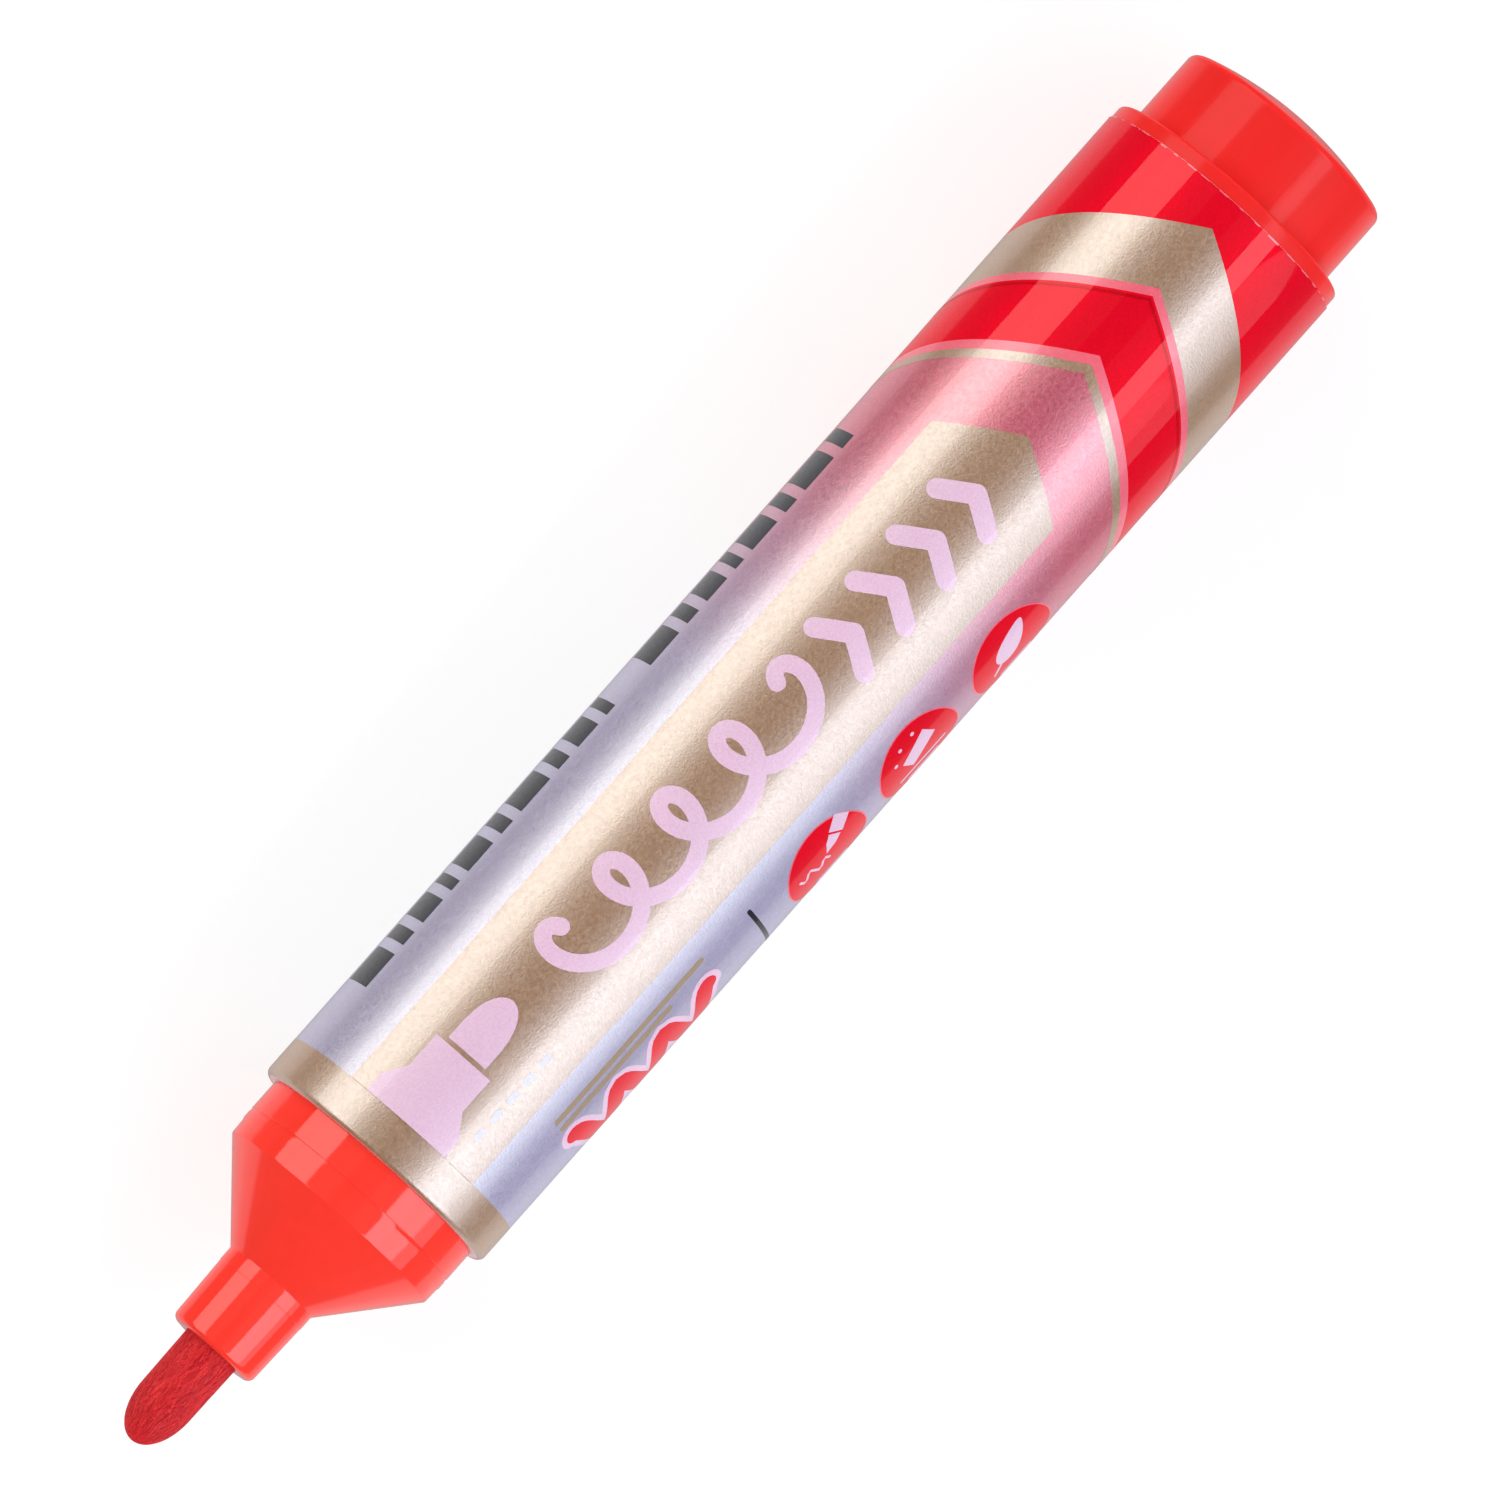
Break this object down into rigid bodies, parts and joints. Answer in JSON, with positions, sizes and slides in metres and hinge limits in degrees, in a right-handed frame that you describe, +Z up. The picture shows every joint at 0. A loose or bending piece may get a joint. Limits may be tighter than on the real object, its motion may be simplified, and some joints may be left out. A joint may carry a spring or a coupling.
{
  "type": "whiteboard marker",
  "caption": "Round whiteboard marker with a bullet nib, coned nozzle, printed foil barrel, fibre ink reservoir and domed rear plug; cap off.",
  "frame": {"origin": "on the marker's axis, in the plane of the barrel's front face, where a cap's rim stops", "axes": "+X along the marker's axis from the nib to the rear plug; +Z up through the middle of the printed label; +Y across, towards the label's upper edge"},
  "size_m": [0.1215, 0.02, 0.02],
  "materials": {
    "barrel_plastic": "natural white polypropylene",
    "label_foil": "satin foil print under a clear gloss layer",
    "wrap_film": "thin film tinted by the ink",
    "ink_fibre": "polyester fibre soaked with red ink",
    "red_plastic": "moulded gloss red polypropylene",
    "nib_fibre": "felted acrylic fibre, inked red"
  },
  "bodies": {
    "barrel_body": {"barrel": "barrel_plastic", "label_film": "label_foil", "reservoir_wrap": "wrap_film", "reservoir_core": "ink_fibre"},
    "nozzle_body": {"nozzle": "red_plastic"},
    "nib_body": {"nib": "nib_fibre"},
    "plug_body": {"rear_plug": "red_plastic"}
  },
  "joints": [
    {"name": "nozzle_pull", "type": "slide", "parent": "barrel_body", "child": "nozzle_body", "axis": [-1, 0, 0], "range_m": [0, 0.02]},
    {"name": "nib_pull", "type": "slide", "parent": "nozzle_body", "child": "nib_body", "axis": [-1, 0, 0], "range_m": [0, 0.036]},
    {"name": "plug_pull", "type": "slide", "parent": "barrel_body", "child": "plug_body", "axis": [1, 0, 0], "range_m": [0, 0.014]}
  ]
}
